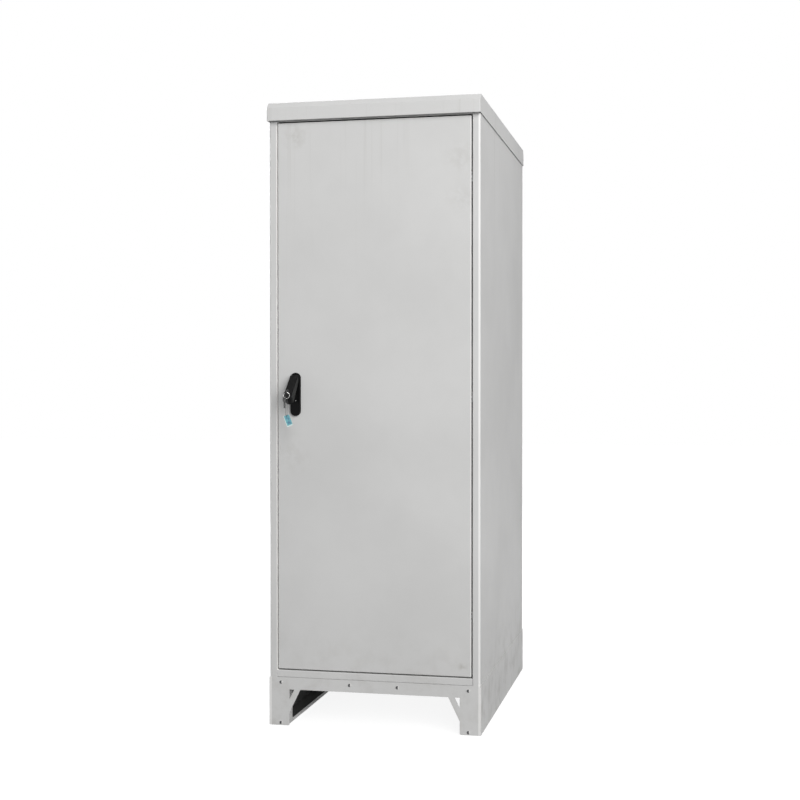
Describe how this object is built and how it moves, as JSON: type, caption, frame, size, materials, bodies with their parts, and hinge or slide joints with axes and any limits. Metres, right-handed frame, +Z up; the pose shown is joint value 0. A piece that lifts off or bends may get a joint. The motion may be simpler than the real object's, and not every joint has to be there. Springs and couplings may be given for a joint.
{
  "type": "roadside utility cabinet",
  "caption": "Free-standing sheet-metal street cabinet on a footed plinth, with a capped roof, a hinged door, a rod lock with a swing lever and hanging keys.",
  "frame": {"origin": "middle of the four anchor holes, on the ground under the plinth", "axes": "+Z up; the door faces -Y; +X to the right of someone facing the door, the hinge side"},
  "size_m": [0.706, 1.1209, 2.0375],
  "materials": {
    "powder_coat": "fine satin powder coat",
    "zinc_sheet": "galvanised sheet, dull",
    "zinc_fastener": "zinc plated",
    "dark_fastener": "dark plated",
    "black_foam": "matt",
    "black_casting": "black satin coat",
    "cast_case": "zinc casting",
    "sintered_steel": "sintered",
    "lock_cylinder": "satin, darkened",
    "bright_steel": "bright",
    "key_black": "moulded bow, dark blade",
    "tag_turquoise": "translucent edge",
    "black_polymer": "moulded",
    "brass_stud": "plain"
  },
  "bodies": {
    "cabinet": {"base_bolts": "zinc_fastener", "base_nuts": "zinc_fastener", "base_tray_front": "zinc_sheet", "base_tray_rear": "zinc_sheet", "cable_seals": "black_foam", "cross_rails": "zinc_sheet", "depth_rails": "zinc_sheet", "earth_nut": "brass_stud", "earth_stud": "brass_stud", "front_header": "powder_coat", "front_sill": "powder_coat", "hinge_brackets": "zinc_sheet", "hinge_screws": "zinc_fastener", "left_side_wall": "powder_coat", "plinth_crossbars": "powder_coat", "plinth_front": "powder_coat", "plinth_left": "powder_coat", "plinth_rear": "powder_coat", "plinth_right": "powder_coat", "plinth_screws": "dark_fastener", "rack_upright_left": "zinc_sheet", "rack_upright_right": "zinc_sheet", "rear_header": "zinc_sheet", "rear_panel": "powder_coat", "rear_panel_screws": "zinc_fastener", "rear_seal": "black_foam", "right_side_wall": "powder_coat", "roof_cap": "powder_coat", "roof_nuts": "zinc_fastener", "top_panel": "zinc_sheet", "upright_bolts": "zinc_fastener"},
    "door": {"door_skin": "powder_coat", "door_gasket": "black_foam", "door_stiffeners": "zinc_sheet", "hinge_leaves": "zinc_sheet", "hinge_pins": "zinc_fastener", "lock_plate": "black_casting", "lock_case": "cast_case", "lock_cover": "zinc_sheet", "lock_cover_screws": "zinc_fastener", "lock_nuts": "zinc_fastener", "rod_guides": "black_polymer"},
    "handle_rotor": {"turn_hub": "black_casting", "drive_pinion": "sintered_steel"},
    "lever": {"lever": "black_casting", "lever_pin": "bright_steel", "lock_barrel": "lock_cylinder"},
    "key": {"lock_plug": "lock_cylinder", "lock_cam": "lock_cylinder", "key": "key_black"},
    "key_set": {"key_ring": "bright_steel", "spare_key": "key_black", "tag_loop": "bright_steel", "key_tag": "tag_turquoise"},
    "rod_upper": {"rod_upper": "zinc_sheet", "rod_tip_upper": "black_polymer"},
    "rod_lower": {"rod_lower": "zinc_sheet", "rod_tip_lower": "black_polymer"}
  },
  "joints": [
    {"name": "door_swing", "type": "hinge", "parent": "cabinet", "child": "door", "pos_m": [0.313, -0.492, 1.078], "axis": [0, 0, 1], "range_deg": [0, 105]},
    {"name": "lever_turn", "type": "hinge", "parent": "door", "child": "handle_rotor", "pos_m": [-0.26, -0.5165, 1.139], "axis": [0, -1, 0], "range_deg": [0, 90]},
    {"name": "lever_tilt", "type": "hinge", "parent": "handle_rotor", "child": "lever", "pos_m": [-0.26, -0.5165, 1.139], "axis": [1, 0, 0], "range_deg": [0, 38]},
    {"name": "key_turn", "type": "hinge", "parent": "lever", "child": "key", "pos_m": [-0.26, -0.58872, 1.08375], "axis": [0, -0.788, 0.6157], "range_deg": [0, 90]},
    {"name": "ring_swing", "type": "hinge", "parent": "key", "child": "key_set", "pos_m": [-0.26, -0.6007, 1.09311], "axis": [1, 0, 0], "range_deg": [-38, 0]},
    {"name": "rod_upper_slide", "type": "slide", "parent": "door", "child": "rod_upper", "axis": [0, 0, 1], "range_m": [-0.0189, 0]},
    {"name": "rod_lower_slide", "type": "slide", "parent": "door", "child": "rod_lower", "axis": [0, 0, 1], "range_m": [0, 0.0189]}
  ],
  "couplings": [
    {"joint": "rod_upper_slide", "follows": "lever_turn", "m_per_rad": -0.012},
    {"joint": "rod_lower_slide", "follows": "lever_turn", "m_per_rad": 0.012},
    {"joint": "ring_swing", "follows": "lever_tilt", "ratio": -1}
  ]
}
